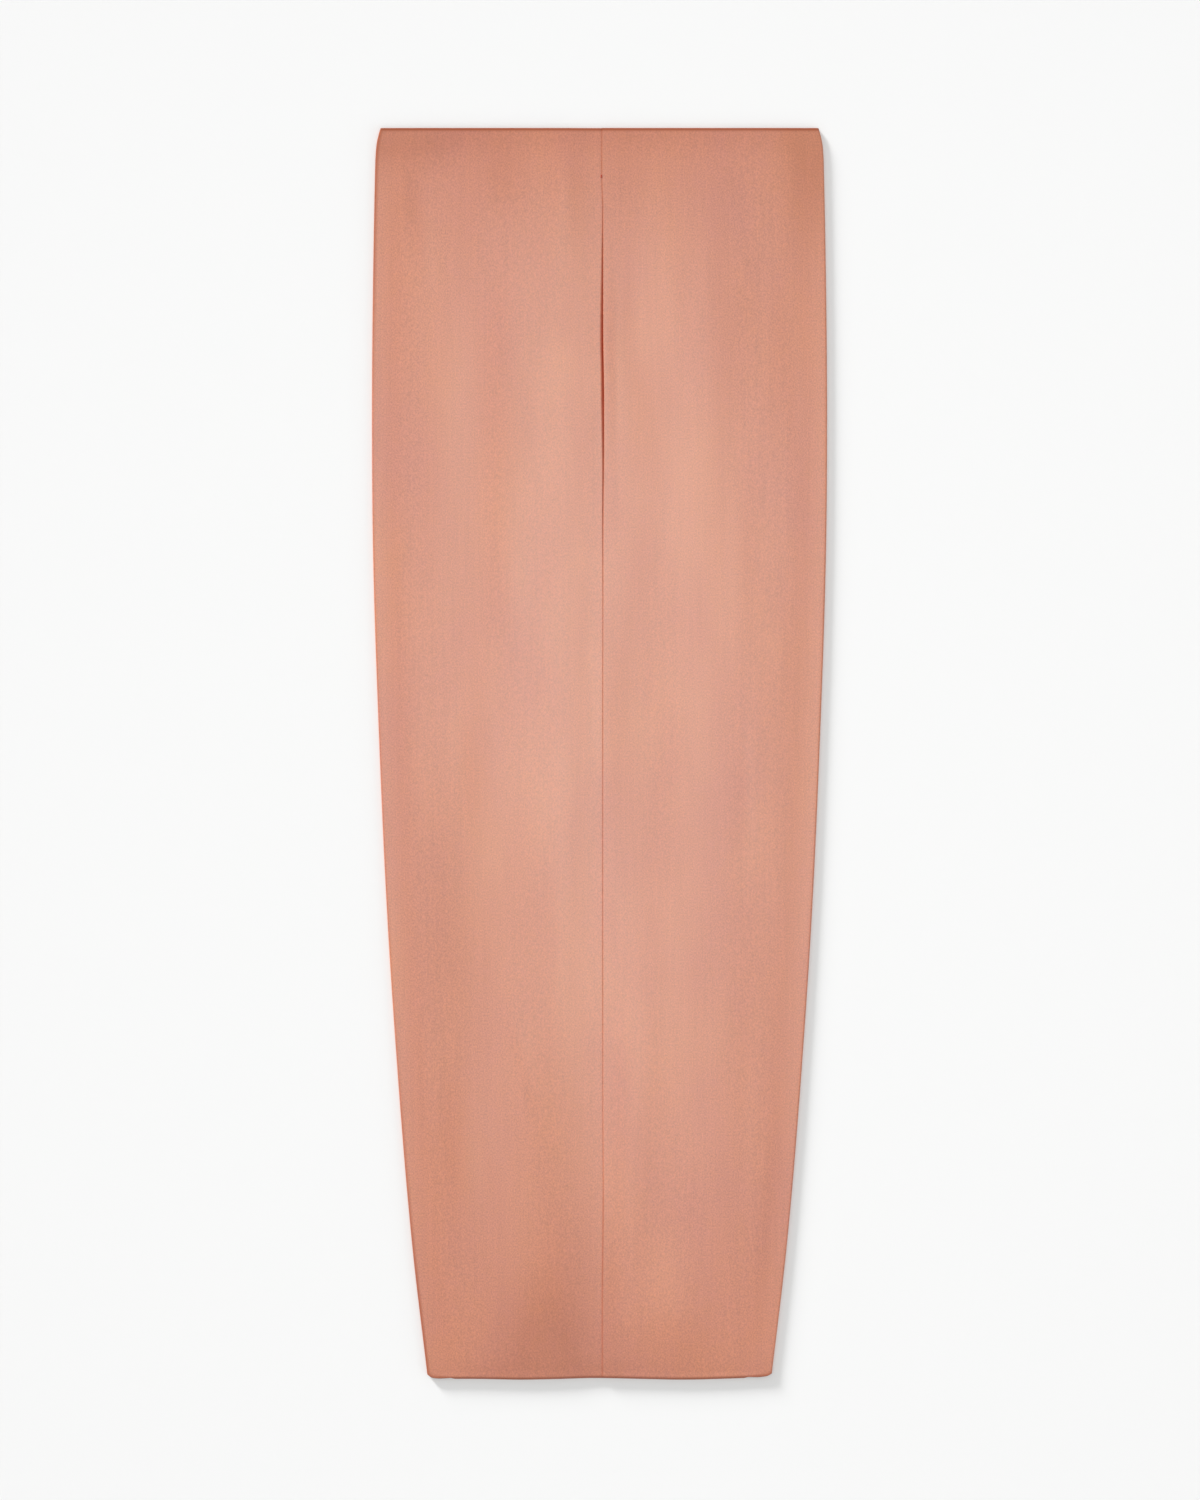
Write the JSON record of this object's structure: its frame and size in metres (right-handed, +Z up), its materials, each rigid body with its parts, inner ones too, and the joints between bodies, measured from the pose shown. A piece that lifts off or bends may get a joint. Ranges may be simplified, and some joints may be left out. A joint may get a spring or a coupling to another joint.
{
  "type": "long wrap skirt",
  "caption": "Long straight wrap skirt in soft satin, laid flat on its back, with the over front's free edge down the middle and sides that taper to a narrow hem.",
  "frame": {"origin": "middle of the underside, at half the length and half the width, on the surface that the skirt lies on", "axes": "+X to the viewer's right across the front, +Y along the length towards the waist, +Z up through the front"},
  "size_m": [0.3746, 1.03, 0.0055],
  "materials": {
    "satin": "matte satin weave in pale terracotta pink, with a soft sheen",
    "thread": "matte sewing thread, a shade darker than the cloth"
  },
  "bodies": {
    "root": {"front_over": "satin", "front_under": "satin", "back": "satin"}
  },
  "joints": []
}
